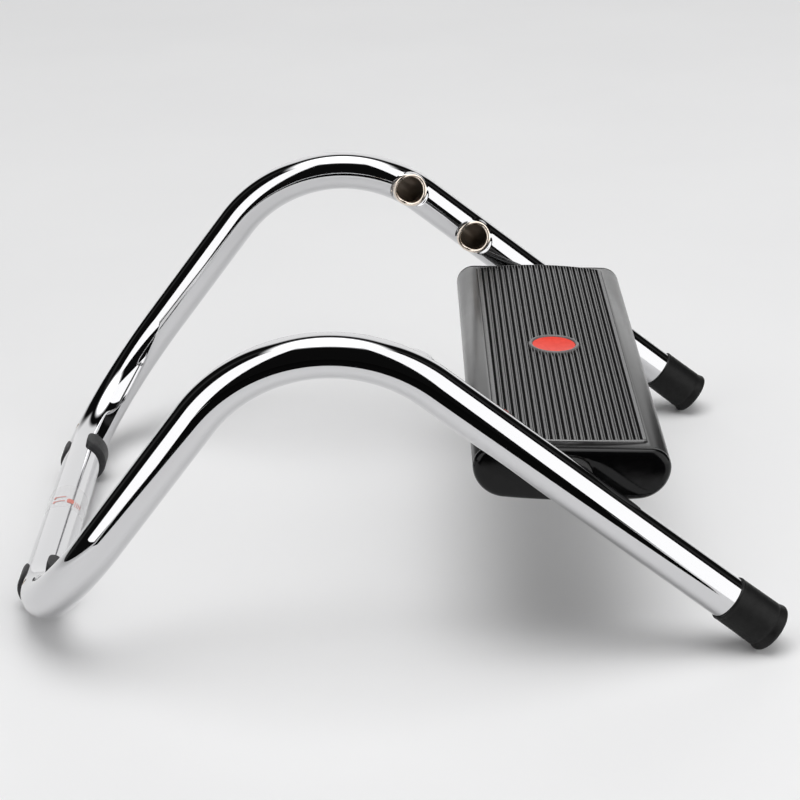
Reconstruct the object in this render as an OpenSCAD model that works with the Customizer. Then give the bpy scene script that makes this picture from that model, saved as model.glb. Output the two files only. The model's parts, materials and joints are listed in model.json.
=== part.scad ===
// Under-desk footrest. A bent chromed tube frame stands on two rubber clips
// and two rubber leg caps. Between its falling legs hangs a ribbed platform
// that tilts on two spring-loaded pivot pins. The pins plug into one pair of
// three height holes on the inner sides of the legs.
// Millimetres, +Z up. The origin is on the floor under the middle of the
// object. The crossbar is at -X, the leg caps are at +X. "Near" parts are at
// -Y and "far" parts at +Y.

/* [Frame tube] */
// Outside diameter of the frame tube
tube_d = 25; // [24:0.5:26]
// Wall thickness of the frame tube
tube_wall = 1.5; // [1.2:0.1:2]
// Distance between the centre lines of the two legs
leg_spacing = 353.6; // [350:0.2:370]
// Centre-line radius of the floor corners
corner_r = 82.8; // [75:0.2:90]
// Centre-line radius of the top bends
apex_r = 91; // [86:1:94]
// Angle at which a leg rises from the floor
rise_angle = 51.6; // [50:0.1:53]
// Angle at which a leg falls towards its cap
fall_angle = 39.4; // [38:0.1:41]
// Distance along the rising line from the crossbar axis to the top corner point
rise_len = 263.5; // [260:0.5:268]
// Diameter of the two plating vent holes near the floor corners
vent_d = 4; // [3:0.5:5]

/* [Height holes] */
// Bore diameter of a height hole
hole_d = 17.3; // [17:0.1:17.6]
// Number of height holes on each leg
hole_count = 3; // [3:1:3]
// Distance along the falling line from the top corner point to the first hole
first_hole = 80.1; // [80:0.1:88]
// Distance from one hole to the next
hole_pitch = 55.1; // [50:0.1:55.4]
// Depth of a hole's rim below the outermost line of the tube
rim_depth = 3.6; // [3.4:0.1:4]
// Depth to which the rim's collar reaches
collar_depth = 7.6; // [7:0.1:8]
// Wall thickness of the drawn collar
collar_wall = 1.7; // [1.4:0.1:1.8]
// Diameter of the dished area round a hole
dish_d = 27.2; // [26:0.2:28]

/* [Rubber feet] */
// Wall thickness of the crossbar clips
clip_wall = 3; // [2.5:0.1:4]
// Length of a crossbar clip along the bar
clip_len = 16.5; // [14:0.5:20]
// Distance from the middle of the bar to the near clip
near_clip_at = 97.5; // [80:0.5:98]
// Distance from the middle of the bar to the far clip
far_clip_at = 88.8; // [80:0.1:98]
// Opening of the clips' C shape, in degrees
clip_gap = 56; // [40:1:80]
// Lean of the opening away from straight up, towards -X
clip_lean = 14; // [0:1:20]
// Length of a leg cap along its leg
cap_len = 32.5; // [28:0.5:36]
// Wall thickness of a leg cap at its collar
cap_wall = 1.2; // [1:0.1:1.6]
// Radius of the rounded rim that stands on the floor
cap_rim_r = 2.2; // [1.5:0.1:2.5]
// Widest radius of a leg cap, at its rim
cap_flange_r = 14.6; // [14.3:0.1:15.5]

/* [Crossbar label] */
// Width of the clear film label along the bar
label_len = 32; // [20:1:40]
// Position of the middle of the label along the bar
label_at = -2; // [-10:1:10]
// Part of the tube that the label wraps, in degrees
label_wrap = 230; // [180:5:300]

/* [Platform] */
// Length of the platform's extruded shell
shell_len = 310; // [306:1:312]
// Width of the platform from front to back
shell_w = 110.6; // [105:0.2:116]
// Height of the flat top above the pivot axis
shell_top = 15.7; // [15:0.1:17]
// Depth of the bottom below the pivot axis
shell_bottom = 16.3; // [16:0.1:18]
// Radius of the two upper edges
top_edge_r = 11.5; // [10:0.5:11.5]
// Radius of the two lower edges
low_edge_r = 19; // [17:0.5:19]
// Wall thickness of the shell
shell_wall = 2.5; // [2:0.1:3]
// Thickness of an end cap outside the shell
end_cap_t = 5.6; // [5:0.1:6]
// Tilt of the platform in the stored pose, towards the leg caps
rest_tilt = 3; // [0:0.5:10]

/* [Tread mat] */
// Width of the mat
mat_w = 84; // [80:1:86]
// Length of the mat along its middle
mat_len = 306.6; // [300:0.2:307]
// Radius of the mat's bowed ends
mat_bow_r = 170; // [150:5:400]
// Thickness of the mat at its middle
mat_t = 3.7; // [3.2:0.1:4.5]
// Depth of the recess that the mat lies in
mat_recess = 1; // [0.5:0.1:1.2]
// Distance from one tread groove to the next
groove_pitch = 3.88; // [3.6:0.01:4]
// Number of tread grooves
groove_count = 21; // [15:2:21]
// Width of a tread groove
groove_w = 1.4; // [1:0.1:1.8]
// Depth of a tread groove
groove_depth = 2.5; // [1.5:0.1:2.6]

/* [Badge] */
// Outside diameter of the badge's bezel
badge_d = 31.6; // [28:0.2:36]
// Diameter of the coloured disc
disc_d = 26.4; // [24:0.2:28]

/* [Pivot] */
// Radial running clearance of the pivot pins
pin_gap = 0.05; // [0.02:0.01:0.1]
// How far a pin slides inward to leave its hole
pin_travel = 10; // [10:0.5:10.5]
// Diameter of a pin's tail rod
tail_d = 8; // [7:0.5:8]
// Wire diameter of a pin spring
wire_d = 1.3; // [1:0.1:1.5]
// Number of turns in a pin spring
spring_turns = 7; // [5:1:8]

/* [Hidden] */
$fn = 96;
eps = 0.01;

// Frame layout, measured from the crossbar axis before the final shift along X
tube_r = tube_d / 2;
bore_r = tube_r - tube_wall;
bar_z = tube_r + clip_wall;
leg_y = leg_spacing / 2;
bar_half = leg_y - corner_r;
rise = [cos(rise_angle), 0, sin(rise_angle)];
fall = [cos(fall_angle), 0, -sin(fall_angle)];
apex = [0, 0, bar_z] + rise_len * rise;
bend = rise_angle + fall_angle;
bend_cut = apex_r * tan(bend / 2);
bend_thin = 0.15;
bend_centre = apex - bend_cut * rise + apex_r * [sin(rise_angle), 0, -cos(rise_angle)];

// Leg caps: the rim's round edge touches the floor
rim_ring_r = cap_flange_r - cap_rim_r;
rim_at = (apex[2] - rim_ring_r * cos(fall_angle) - cap_rim_r) / sin(fall_angle);
cap_end = rim_at + cap_rim_r;
cap_start = cap_end - cap_len;
cap_base_t = 2 * cap_rim_r + 0.2;
tube_end = cap_end - cap_base_t;

// Shift that puts the origin under the middle of the object
front_x = (apex + rim_at * fall)[0] + rim_ring_r * sin(fall_angle) + cap_rim_r;
back_x = -tube_r - clip_wall;
mid_x = (front_x + back_x) / 2;

// Height holes
hole_r = hole_d / 2;
collar_r = hole_r + collar_wall;
dish_r = dish_d / 2;
lip_r = 0.9;
pivot = apex + (first_hole + 2 * hole_pitch) * fall;

// Platform section: corner circles, and a shallow arc for the bottom
side_z = 4.2;
top_x = shell_w / 2 - top_edge_r;
low_x = shell_w / 2 - low_edge_r;
belly = shell_bottom + side_z;
belly_r = (low_x * low_x + belly * belly - low_edge_r * low_edge_r) / (2 * (belly - low_edge_r));
belly_z = belly_r - shell_bottom;
lean = atan2(low_x, belly_z - side_z);
shell_end = shell_len / 2;
cap_face = shell_end + end_cap_t;
leg_face = leg_y - tube_r;

// Pivot parts, as distances from the platform's middle along Y
pin_r = hole_r - pin_gap;
boss_r = 12;
boss_end = 145.8;
flange_r = 10.6;
flange_t = 2.7;
flange_back = boss_end - 0.1 - flange_t;
pin_tip = leg_face + 9.2;
dome_h = 2;
guide_out = 117;
guide_t = 5;
guide_w = 50;
tail_r = tail_d / 2;
stub_r = 3.2;
hub_out = 108.2;
hub_t = 10;
hub_in = hub_out - hub_t;
hub_r = 6.5;
stem_w = 10;
stem_t = 7;
pad_w = 26;
pad_l = 16;
pad_t = 3.2;
pad_gap = 0.6;
screw_r = 1.5;
screw_x = 15;
screw_y = guide_out - guide_t / 2;
screw_seat = shell_bottom - 0.4;

// Tread mat
mat_top = shell_top - mat_recess + mat_t;
mat_crown_r = 647;
mat_end_wall = 1.1;
badge_top = mat_top + 0.3;
disc_dip = 1.2;

// ---------- helpers ----------

// Moves the whole object so that the origin is under its middle
module on_floor() {
    translate([-mid_x, 0, 0]) children();
}

// Draws children on the far leg and mirrored on the near leg
module both_sides() {
    for (side = [0, 1]) mirror([0, side, 0]) children();
}

// Extrudes a drawing in X and Z from y0 to y1
module along_y(y0, y1) {
    translate([0, y1, 0]) rotate([90, 0, 0]) linear_extrude(height = y1 - y0) children();
}

// A rod along Y from y0 to y1
module rod_y(r, y0, y1) {
    translate([0, y1, 0]) rotate([90, 0, 0]) cylinder(r = r, h = y1 - y0);
}

// Turns a profile of radius and distance about the Y axis, starting at y0 and going out
module turned_y(y0) {
    translate([0, y0, 0]) rotate([-90, 0, 0]) rotate_extrude() children();
}

// The platform's frame: its pivot axis, at the stored tilt
module on_pivot() {
    on_floor() translate(pivot) rotate([0, rest_tilt, 0]) children();
}

// A point on the falling centre line, with Z along the leg
module on_leg(distance) {
    translate(apex + distance * fall + [0, leg_y, 0]) rotate([0, 90 + fall_angle, 0]) children();
}

// ---------- frame ----------

// A bend of the bar, slightly thinner than the straights and let into them at both ends
module bend_path(r, radius, angle) {
    let_in = 1 / radius * 180 / PI;
    rotate([0, 0, -let_in]) rotate_extrude(angle = angle + 2 * let_in)
        translate([radius, 0]) circle(r = r - bend_thin);
}

// The bent bar of one side, from the crossbar's end to end_at along the falling line
module leg_path(r, end_at) {
    corner_centre = [corner_r * rise[0], bar_half, bar_z + corner_r * rise[2]];
    translate(corner_centre) rotate([0, -rise_angle, 0]) rotate([0, 0, 90]) bend_path(r, corner_r, 90);
    translate([corner_centre[0], leg_y, corner_centre[2]]) rotate([0, 90 - rise_angle, 0])
        cylinder(r = r, h = rise_len - corner_r - bend_cut);
    translate(bend_centre + [0, leg_y, 0]) rotate([90, 0, 0]) rotate([0, 0, 90 - fall_angle])
        bend_path(r, apex_r, bend);
    on_leg(bend_cut) cylinder(r = r, h = end_at - bend_cut);
}

module frame_solid(r, end_at) {
    translate([0, 0, bar_z]) rod_y(r, -bar_half, bar_half);
    both_sides() leg_path(r, end_at);
}

// Centre of height hole number i on the far leg, with +Z pointing into the tube
module on_hole(i) {
    translate(apex + (first_hole + i * hole_pitch) * fall + [0, leg_face, 0]) rotate([-90, 0, 0]) children();
}

// Metal of the dish and the drawn collar round a hole
module hole_metal() {
    cylinder(r1 = dish_r + 1.2, r2 = collar_r, h = collar_depth - 2);
    cylinder(r = collar_r, h = collar_depth);
}

// What the punch removes: the dish, the rounded lip and the bore
module hole_cut() {
    lip = [for (a = [90 : -30 : 0]) [
        hole_r + lip_r * (1 - cos(a)), rim_depth + lip_r * (1 - sin(a))
    ]];
    outside = [[0, -1], [dish_r + 1.2, -1]];
    inside = [[hole_r, collar_depth + 1], [0, collar_depth + 1]];
    rotate_extrude() polygon(concat(outside, lip, inside));
}

module vent_cut() {
    vent_turn = 17;
    translate([corner_r * rise[0], bar_half, bar_z + corner_r * rise[2]])
        rotate([0, -rise_angle, 0]) rotate([0, 0, 180 - vent_turn])
        translate([corner_r, 0, 0]) cylinder(r = vent_d / 2, h = tube_d);
}

module frame_tube() {
    color("silver") on_floor() difference() {
        frame_solid(tube_r, tube_end);
        both_sides() for (i = [0 : hole_count - 1]) on_hole(i) hole_cut();
        difference() {
            frame_solid(bore_r, tube_end + 1);
            both_sides() for (i = [0 : hole_count - 1]) on_hole(i) hole_metal();
        }
        both_sides() vent_cut();
    }
}

// ---------- rubber feet and label ----------

module leg_cap() {
    color([0.05, 0.05, 0.05]) on_floor() on_leg(cap_start) rotate_extrude() {
        polygon([
            [0, cap_len - cap_base_t], [tube_r, cap_len - cap_base_t], [tube_r, 0],
            [tube_r + cap_wall, 0], [tube_r + cap_wall + 0.3, cap_len - 7],
            [cap_flange_r, cap_len - cap_rim_r], [rim_ring_r, cap_len - cap_rim_r],
            [rim_ring_r, cap_len], [0, cap_len]
        ]);
        translate([rim_ring_r, cap_len - cap_rim_r]) circle(r = cap_rim_r);
    }
}

module crossbar_foot(at) {
    color([0.2, 0.2, 0.2]) on_floor() difference() {
        translate([0, at, bar_z]) rotate([-90, 0, 0]) rotate([0, 0, 270 - clip_lean + clip_gap / 2])
            rotate_extrude(angle = 360 - clip_gap)
            translate([tube_r - 0.5, -clip_len / 2]) square([clip_wall + 0.5, clip_len]);
        frame_solid(tube_r, tube_end);
    }
}

module crossbar_label() {
    label_t = 0.15;
    label_start = 190;
    color([0.9, 0.88, 0.88]) on_floor()
        translate([0, label_at, bar_z]) rotate([-90, 0, 0]) rotate([0, 0, label_start])
        rotate_extrude(angle = label_wrap)
        translate([tube_r, -label_len / 2]) square([label_t, label_len]);
}

// ---------- platform ----------

// Outline of the platform in X and Z, drawn in by inset
module section(inset) {
    join_x = low_x + (low_edge_r - inset) * sin(lean);
    for (side = [-1, 1]) {
        translate([side * top_x, side_z]) circle(r = top_edge_r - inset);
        intersection() {
            translate([side * low_x, side_z]) circle(r = low_edge_r - inset);
            translate([-shell_w, -shell_w + side_z]) square([2 * shell_w, shell_w]);
        }
    }
    intersection() {
        translate([0, belly_z]) circle(r = belly_r - inset, $fn = 720);
        translate([-join_x, -2 * shell_bottom]) square([2 * join_x, 2 * shell_bottom + side_z]);
    }
    translate([-top_x, side_z - eps]) square([2 * top_x, shell_top - inset - side_z + eps]);
}

// Outline of the mat seen from above, drawn in by inset
module mat_outline(inset) {
    bow_y = mat_bow_r - mat_len / 2;
    intersection() {
        square([mat_w - 2 * inset, mat_len], center = true);
        translate([0, bow_y]) circle(r = mat_bow_r - inset, $fn = 240);
        translate([0, -bow_y]) circle(r = mat_bow_r - inset, $fn = 240);
    }
}

module platform_shell() {
    slot_in = hub_in + (hub_t - stem_t) / 2 - pin_travel - 0.4;
    slot_out = hub_in + (hub_t + stem_t) / 2 + 0.4;
    color([0.16, 0.16, 0.16]) on_pivot() difference() {
        along_y(-shell_end, shell_end) section(0);
        along_y(-shell_end - 1, shell_end + 1) section(shell_wall);
        translate([0, 0, shell_top - mat_recess]) linear_extrude(height = 5) mat_outline(-0.4);
        both_sides() {
            translate([-stem_w / 2 - 0.4, slot_in, -shell_bottom - 1])
                cube([stem_w + 0.8, slot_out - slot_in, shell_wall + 4]);
            for (side = [-1, 1]) translate([side * screw_x, screw_y, -shell_bottom - 1]) {
                cylinder(r = screw_r + 0.3, h = shell_wall + 4);
                cylinder(r = 3.8, h = 1 + shell_bottom - screw_seat);
            }
        }
    }
}

module platform_cap() {
    spigot_in = shell_end - 7;
    spigot_inset = shell_wall + 0.1;
    color([0.04, 0.04, 0.04]) on_pivot() difference() {
        union() {
            hull() {
                along_y(shell_end, shell_end + 2.2) section(0);
                along_y(shell_end + 2.2, shell_end + 4) section(0.7);
                along_y(shell_end + 4, cap_face) section(2.6);
            }
            difference() {
                along_y(spigot_in, shell_end + eps) section(spigot_inset);
                along_y(spigot_in - 1, shell_end) section(spigot_inset + 2);
            }
            rod_y(boss_r, boss_end, shell_end + eps);
        }
        rod_y(pin_r + pin_gap, boss_end - 1, cap_face + 1);
    }
}

module tread_mat() {
    color([0.3, 0.3, 0.3]) on_pivot() difference() {
        intersection() {
            translate([0, 0, shell_top - mat_recess]) linear_extrude(height = mat_t + 1) mat_outline(0);
            translate([0, 0, mat_top - mat_crown_r]) rod_y(mat_crown_r, -mat_len, mat_len, $fn = 720);
        }
        intersection() {
            translate([0, 0, mat_top - groove_depth]) linear_extrude(height = mat_t + 1)
                mat_outline(mat_end_wall);
            for (i = [0 : groove_count - 1])
                translate([(i - (groove_count - 1) / 2) * groove_pitch - groove_w / 2, -mat_len, 0])
                    cube([groove_w, 2 * mat_len, 2 * mat_top]);
        }
        translate([0, 0, shell_top - mat_recess - 1]) cylinder(r = badge_d / 2, h = mat_t + 3);
    }
}

module badge_bezel() {
    ring_w = (badge_d - disc_d) / 2;
    color([0.35, 0.35, 0.35]) on_pivot() rotate_extrude() {
        translate([disc_d / 2, shell_top - mat_recess])
            square([ring_w, badge_top - ring_w / 2 - shell_top + mat_recess]);
        translate([disc_d / 2 + ring_w / 2, badge_top - ring_w / 2]) circle(r = ring_w / 2);
    }
}

module badge_disc() {
    disc_top = badge_top - 0.9;
    dish = (disc_d * disc_d / 4 + disc_dip * disc_dip) / (2 * disc_dip);
    color([0.85, 0.12, 0.1]) on_pivot() difference() {
        translate([0, 0, shell_top - mat_recess])
            cylinder(r = disc_d / 2, h = disc_top - shell_top + mat_recess);
        translate([0, 0, disc_top - disc_dip + dish]) sphere(r = dish, $fn = 180);
    }
}

// ---------- pivot parts, drawn at the far end ----------

module pin_guide() {
    color([0.6, 0.6, 0.6]) on_pivot() difference() {
        along_y(guide_out - guide_t, guide_out) intersection() {
            section(shell_wall + 0.1);
            square([guide_w, 4 * shell_bottom], center = true);
        }
        rod_y(tail_r + pin_gap, guide_out - guide_t - 1, guide_out + 1);
        for (side = [-1, 1]) translate([side * screw_x, screw_y, -shell_bottom])
            cylinder(r = screw_r, h = 12);
    }
}

module cross_screw(head_r, head_h, length) {
    difference() {
        union() {
            cylinder(r = head_r, h = head_h);
            cylinder(r = screw_r, h = head_h + length);
        }
        for (turn = [0, 90]) rotate([0, 0, turn]) translate([-head_r * 0.6, -0.4, -1])
            cube([head_r * 1.2, 0.8, 1 + head_h * 0.6]);
    }
}

module guide_screws() {
    head_h = 1.8;
    color([0.7, 0.7, 0.7]) on_pivot() both_sides() for (side = [-1, 1])
        translate([side * screw_x, screw_y, -screw_seat - head_h]) cross_screw(3.2, head_h, 9);
}

module friction_washer() {
    nose = 2.4;
    color([0.1, 0.1, 0.1]) on_pivot() turned_y(cap_face) polygon([
        [hole_r, 0], [11.4, 0], [11.4, leg_face - cap_face],
        [10.6, leg_face - cap_face + nose], [hole_r, leg_face - cap_face + nose]
    ]);
}

module pivot_pin() {
    dome_r = (pin_r * pin_r + dome_h * dome_h) / (2 * dome_h);
    color([0.75, 0.75, 0.78]) on_pivot() difference() {
        union() {
            rod_y(stub_r, hub_in, hub_out + eps);
            rod_y(tail_r, hub_out, flange_back + eps);
            rod_y(flange_r, flange_back, flange_back + flange_t);
            intersection() {
                rod_y(pin_r, flange_back, pin_tip);
                translate([0, pin_tip - dome_r, 0]) sphere(r = dome_r, $fn = 180);
            }
            rod_y(pin_r, flange_back, pin_tip - dome_h - 1);
        }
        rod_y(screw_r, hub_in - 1, hub_in + 9);
    }
}

module release_tab() {
    ridge_count = 4;
    pad_z = -shell_bottom - pad_gap;
    stem_y = hub_in + (hub_t - stem_t) / 2;
    pad_y = hub_in + (hub_t - pad_l) / 2;
    color([0.06, 0.06, 0.06]) on_pivot() difference() {
        union() {
            rod_y(hub_r, hub_in, hub_out);
            translate([-stem_w / 2, stem_y, pad_z - eps]) cube([stem_w, stem_t, -pad_z]);
            translate([-pad_w / 2, pad_y, pad_z - pad_t]) cube([pad_w, pad_l, pad_t]);
            for (i = [0 : ridge_count - 1])
                translate([-pad_w / 2, pad_y + 1 + i * 4, pad_z - pad_t - 0.8]) cube([pad_w, 2, 0.8 + eps]);
        }
        rod_y(stub_r, hub_in - 1, hub_out + 1);
    }
}

module tab_screw() {
    head_h = 2;
    color([0.7, 0.7, 0.7]) on_pivot() translate([0, hub_in - head_h, 0]) rotate([-90, 0, 0])
        cross_screw(5, head_h, 8);
}

// Points of one ring of the spring's wire, at angle a along the coil
function wire_ring(a, start, run, coil_r, sides) = [
    for (k = [0 : sides - 1]) let (
        t = 360 * k / sides,
        r = coil_r + wire_d / 2 * cos(t)
    ) [r * cos(a), start + run * a / (360 * spring_turns) + wire_d / 2 * sin(t), r * sin(a)]
];

module pin_spring() {
    sides = 6;
    per_turn = 14;
    coil_r = 6.9;
    start = guide_out + wire_d / 2 + 0.05;
    run = flange_back - guide_out - wire_d - 0.1;
    rings = spring_turns * per_turn;
    points = [
        for (i = [0 : rings]) each wire_ring(360 * i / per_turn, start, run, coil_r, sides)
    ];
    walls = [
        for (i = [0 : rings - 1], k = [0 : sides - 1]) let (
            a = i * sides + k,
            b = i * sides + (k + 1) % sides
        ) [a, b, b + sides, a + sides]
    ];
    ends = [[for (k = [sides - 1 : -1 : 0]) k], [for (k = [0 : sides - 1]) rings * sides + k]];
    color([0.7, 0.7, 0.72]) on_pivot() polyhedron(points, concat(walls, ends), convexity = 8);
}

frame_tube();
mirror([0, 1, 0]) leg_cap();  // leg_cap_near
leg_cap();  // leg_cap_far
crossbar_foot(-near_clip_at);  // crossbar_foot_near
crossbar_foot(far_clip_at);  // crossbar_foot_far
crossbar_label();
platform_shell();
mirror([0, 1, 0]) platform_cap();  // platform_cap_near
platform_cap();  // platform_cap_far
tread_mat();
badge_bezel();
badge_disc();
mirror([0, 1, 0]) pin_guide();  // pin_guide_near
pin_guide();  // pin_guide_far
guide_screws();
mirror([0, 1, 0]) friction_washer();  // friction_washer_near
friction_washer();  // friction_washer_far
mirror([0, 1, 0]) pivot_pin();  // pivot_pin_near
pivot_pin();  // pivot_pin_far
mirror([0, 1, 0]) pin_spring();  // pin_spring_near
pin_spring();  // pin_spring_far
mirror([0, 1, 0]) release_tab();  // release_tab_near
release_tab();  // release_tab_far
mirror([0, 1, 0]) tab_screw();  // tab_screw_near
tab_screw();  // tab_screw_far
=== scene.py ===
"""Looks of the under-desk footrest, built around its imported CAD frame.

Sizes below are in millimetres in the row frame, and meshes are scaled to metres as they are made.
+X points from the crossbar to the leg caps, near parts are at -Y and far parts at +Y.
"""

import json
import math

import bmesh
import bpy
from mathutils import Matrix, Vector
from mathutils.kdtree import KDTree


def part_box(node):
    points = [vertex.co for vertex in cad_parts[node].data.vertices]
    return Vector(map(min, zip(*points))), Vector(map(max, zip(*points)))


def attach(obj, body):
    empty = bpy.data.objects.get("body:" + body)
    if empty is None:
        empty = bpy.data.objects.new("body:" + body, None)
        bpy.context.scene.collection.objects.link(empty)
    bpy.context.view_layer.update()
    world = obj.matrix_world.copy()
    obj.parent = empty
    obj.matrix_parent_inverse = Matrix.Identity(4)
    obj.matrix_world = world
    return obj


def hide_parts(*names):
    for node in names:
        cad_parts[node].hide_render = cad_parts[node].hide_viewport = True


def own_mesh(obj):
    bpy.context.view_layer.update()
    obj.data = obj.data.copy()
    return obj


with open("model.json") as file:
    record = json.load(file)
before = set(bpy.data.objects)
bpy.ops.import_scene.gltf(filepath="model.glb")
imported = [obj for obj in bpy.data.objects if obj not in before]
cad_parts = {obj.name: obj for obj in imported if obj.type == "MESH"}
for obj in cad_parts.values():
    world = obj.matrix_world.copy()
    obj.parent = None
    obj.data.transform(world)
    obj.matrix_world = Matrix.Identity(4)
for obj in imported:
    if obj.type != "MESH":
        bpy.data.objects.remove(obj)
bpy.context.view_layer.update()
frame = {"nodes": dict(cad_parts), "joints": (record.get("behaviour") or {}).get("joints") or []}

MM = 0.001
X = Vector((1, 0, 0))
Y = Vector((0, 1, 0))
NEAR, FAR = -1, 1
SIDES = ((NEAR, "near"), (FAR, "far"))

# Frame tube
TUBE_R = 12.5
BORE_R = 11.0
LEG_Y = 176.8
CORNER_R = 82.8
APEX_R = 91.0
RISE_ANGLE = math.radians(51.6)
FALL_ANGLE = math.radians(39.4)
TUBE_END = 328.8
VENT_TURN = math.radians(17)
VENT_R = 2.0

# Height holes, in a row down each falling leg from the point where the legs' lines meet
FIRST_HOLE = 80.1
HOLE_PITCH = 55.1
HOLE_R = 8.65
LIP_R = 1.5
RIM_DEPTH = 0.7
RIM_FOLLOW = 0.7
COLLAR_R = 10.35
COLLAR_DEPTH = 7.6
LIP_SLOPE = math.radians(50)

# Leg caps
CAP_LEN = 32.5
CAP_WALL = 1.2
CAP_BASE = 4.6
CAP_RIM_R = 2.2
CAP_FLANGE_R = 14.6

# Crossbar clips, with angles from straight up towards +X
CLIP_WALL = 3.0
CLIP_LEN = 16.5
CLIP_START = math.radians(14)
CLIP_END = math.radians(318)

# Platform section, measured from the pivot axis
SHELL_END = 155.0
SHELL_W = 110.6
SHELL_TOP = 15.7
SHELL_BOTTOM = 16.3
TOP_EDGE_R = 11.5
LOW_EDGE_R = 19.0
SIDE_Z = 4.2
SHELL_WALL = 2.5
CAP_FACE = 160.6
REST_TILT = math.radians(3)

# Tread mat
MAT_W = 84.0
MAT_LEN = 306.6
MAT_BOW_R = 170.0
MAT_BASE = SHELL_TOP - 1.0
MAT_TOP = 18.4
MAT_CROWN_R = 647.0
MAT_END_WALL = 1.1
GROOVE_PITCH = 3.88
GROOVE_COUNT = 21
RIB_EDGE = (GROOVE_COUNT - 1) / 2 * GROOVE_PITCH + 1.3

# Badge
BEZEL_R = 15.8
DISC_R = 13.2

# Pivot parts, as distances from the platform's middle along Y
PIN_R = 8.6
BOSS_R = 12.0
BOSS_END = 145.8
LEG_FACE = LEG_Y - TUBE_R
GUIDE_OUT = 117.0
FLANGE_BACK = 143.0
PIN_TIP = 173.5
HUB_IN = 98.2


# ---------- places read from the frame ----------

def joint(name):
    return next(j for j in frame["joints"] if j["name"] == name)


PIVOT = Vector(joint("platform_tilt")["pos_m"]) / MM
RISE = Vector((math.cos(RISE_ANGLE), 0, math.sin(RISE_ANGLE)))
FALL = Vector((math.cos(FALL_ANGLE), 0, -math.sin(FALL_ANGLE)))
BAR = Vector((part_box("frame_tube")[0].x / MM + TUBE_R, 0, TUBE_R + CLIP_WALL))
APEX = PIVOT - FALL * (FIRST_HOLE + 2 * HOLE_PITCH)
BEND = RISE_ANGLE + FALL_ANGLE
BEND_CUT = APEX_R * math.tan(BEND / 2)


# ---------- meshes ----------

class Maker:
    """Collects rings of points and the faces between them, in millimetres."""

    def __init__(self):
        self.points = []
        self.faces = []
        self.slots = []
        self.aims = []

    def ring(self, points):
        first = len(self.points)
        self.points.extend(points)
        return list(range(first, len(self.points)))

    def aim(self, point, normal):
        """Keeps the exact normal of a point, for a piece that reflects."""
        self.aims.append((point * MM, normal))

    def face(self, corners, slot=0):
        self.faces.append(corners)
        self.slots.append(slot)

    def strip(self, a, b, slot=0):
        for i in range(len(a)):
            j = (i + 1) % len(a)
            self.face([a[i], a[j], b[j], b[i]], slot)

    def skin(self, rings, slot=0):
        for a, b in zip(rings, rings[1:]):
            self.strip(a, b, slot)

    def solid(self, rings):
        """Skins the rings and closes both ends."""
        self.skin(rings)
        self.face(rings[0])
        self.face(list(reversed(rings[-1])))

    def piece(self, name, materials, sharp=40):
        mesh = bpy.data.meshes.new(name)
        mesh.from_pydata([p * MM for p in self.points], [], self.faces)
        for material in materials:
            mesh.materials.append(material)
        mesh.polygons.foreach_set("material_index", self.slots)
        body = bmesh.new()
        body.from_mesh(mesh)
        bmesh.ops.remove_doubles(body, verts=body.verts, dist=1e-7)
        bmesh.ops.recalc_face_normals(body, faces=body.faces)
        body.to_mesh(mesh)
        body.free()
        piece = bpy.data.objects.new(name, mesh)
        bpy.context.scene.collection.objects.link(piece)
        smooth(mesh, sharp)
        if self.aims:
            self.set_normals(mesh)
        return piece

    def set_normals(self, mesh):
        tree = KDTree(len(self.aims))
        for i, (point, _) in enumerate(self.aims):
            tree.insert(point, i)
        tree.balance()
        normals = []
        for vertex in mesh.vertices:
            _, i, gap = tree.find(vertex.co)
            normals.append(self.aims[i][1] if gap < 1e-6 else vertex.normal)
        mesh.normals_split_custom_set_from_vertices(normals)


def smooth(mesh, sharp):
    mesh.polygons.foreach_set("use_smooth", [True] * len(mesh.polygons))
    mesh.set_sharp_from_angle(angle=math.radians(sharp))


def spread(start, end, count):
    """count + 1 values from start to end."""
    return [start + (end - start) * i / count for i in range(count + 1)]


def arc_angles(stop, step, start=0):
    """Angles in radians, from start to stop degrees."""
    return [math.radians(d) for d in range(start, stop + 1, step)]


def arc_points(x, z, r, angles):
    return [(x + r * math.cos(a), z + r * math.sin(a)) for a in angles]


def ease(t):
    """A smooth step from 0 to 1."""
    t = min(max(t, 0), 1)
    return t * t * (3 - 2 * t)


def lathe(name, profile, origin, axis, materials, count=128, sharp=40):
    """Turns a closed profile of (radius, distance) points about an axis through origin."""
    axis = axis.normalized()
    across = (Y if abs(axis.y) < 0.9 else X).cross(axis).normalized()
    up = axis.cross(across)
    maker = Maker()
    rings = []
    for r, h in profile:
        centre = origin + axis * h
        if r < 1e-6:
            rings.append(maker.ring([centre]) * count)
            continue
        turns = (2 * math.pi * i / count for i in range(count))
        rings.append(maker.ring([centre + (across * math.cos(a) + up * math.sin(a)) * r for a in turns]))
    pairs = list(zip(rings, rings[1:]))
    if profile[0][0] > 1e-6 and profile[-1][0] > 1e-6:
        pairs.append((rings[-1], rings[0]))
    for a, b in pairs:
        for k in range(count):
            m = (k + 1) % count
            corners = list(dict.fromkeys([a[k], a[m], b[m], b[k]]))
            if len(corners) > 2:
                maker.face(corners)
    return maker.piece(name, materials, sharp)


def on_platform(x, y, z):
    """A point in the platform's own frame, at the stored tilt, as a point in the row frame."""
    c, s = math.cos(REST_TILT), math.sin(REST_TILT)
    return Vector((PIVOT.x + x * c + z * s, y, PIVOT.z - x * s + z * c))


PLATFORM_UP = on_platform(0, 0, 1) - on_platform(0, 0, 0)


# ---------- material nodes ----------

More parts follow.
